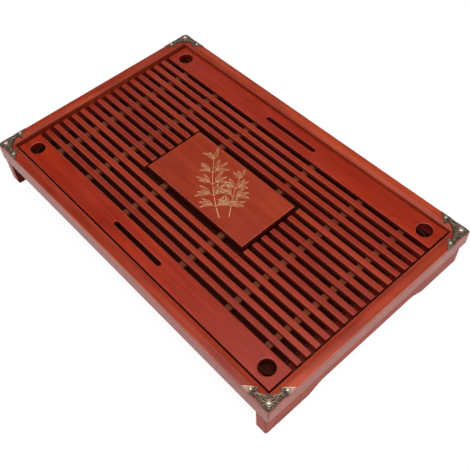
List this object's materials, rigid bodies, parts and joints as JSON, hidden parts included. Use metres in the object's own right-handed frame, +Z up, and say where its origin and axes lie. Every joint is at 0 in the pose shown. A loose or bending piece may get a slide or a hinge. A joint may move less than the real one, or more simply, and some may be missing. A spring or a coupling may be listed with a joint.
{
  "type": "gongfu tea tray",
  "caption": "Wooden gongfu tea tray: mitred frame on arched foot rails, slatted lift-off lid with a central plaque, and a drained water tray under it.",
  "frame": {"origin": "on the floor under the middle of the tray", "axes": "+X along the long side towards the drain, +Y from front to back, +Z up"},
  "size_m": [0.43, 0.272, 0.057],
  "materials": {
    "red_wood": "satin lacquer over red wood",
    "plaque_wood": "satin lacquer with a light engraved sprig",
    "batten_wood": "matt unlacquered wood",
    "panel_wood": "matt plywood",
    "bronze": "antiqued",
    "tack_brass": "polished",
    "screw_steel": "zinc plated",
    "tray_plastic": "satin black",
    "washer_rubber": "matt"
  },
  "bodies": {
    "frame": {"back_ledge": "red_wood", "back_left_corner_plate": "bronze", "back_rail": "red_wood", "back_right_corner_plate": "bronze", "bottom_panel": "panel_wood", "corner_tacks": "tack_brass", "foot_screws": "screw_steel", "front_ledge": "red_wood", "front_left_corner_plate": "bronze", "front_rail": "red_wood", "front_right_corner_plate": "bronze", "left_foot_rail": "red_wood", "left_ledge": "red_wood", "left_rail": "red_wood", "panel_screws": "screw_steel", "right_foot_rail": "red_wood", "right_ledge": "red_wood", "right_rail": "red_wood"},
    "lid": {"back_lid_board": "red_wood", "batten_1": "batten_wood", "batten_2": "batten_wood", "batten_3": "batten_wood", "batten_4": "batten_wood", "batten_5": "batten_wood", "batten_6": "batten_wood", "batten_screws": "screw_steel", "front_lid_board": "red_wood", "plaque": "plaque_wood", "slat_1": "red_wood", "slat_10_left": "red_wood", "slat_10_right": "red_wood", "slat_11_left": "red_wood", "slat_11_right": "red_wood", "slat_12": "red_wood", "slat_13": "red_wood", "slat_14": "red_wood", "slat_15": "red_wood", "slat_2": "red_wood", "slat_3": "red_wood", "slat_4": "red_wood", "slat_5_left": "red_wood", "slat_5_right": "red_wood", "slat_6_left": "red_wood", "slat_6_right": "red_wood", "slat_7_left": "red_wood", "slat_7_right": "red_wood", "slat_8_left": "red_wood", "slat_8_right": "red_wood", "slat_9_left": "red_wood", "slat_9_right": "red_wood"},
    "tray": {"water_tray": "tray_plastic", "drain_fitting": "tray_plastic", "drain_washer": "washer_rubber", "drain_nut": "tray_plastic"}
  },
  "joints": [
    {"name": "lid_lift", "type": "slide", "parent": "frame", "child": "lid", "axis": [0, 0, 1], "range_m": [0, 0.12]},
    {"name": "tray_lift", "type": "slide", "parent": "frame", "child": "tray", "axis": [0, 0, 1], "range_m": [0, 0.06]}
  ],
  "couplings": [
    {"joint": "tray_lift", "follows": "lid_lift", "ratio": 0.5}
  ]
}
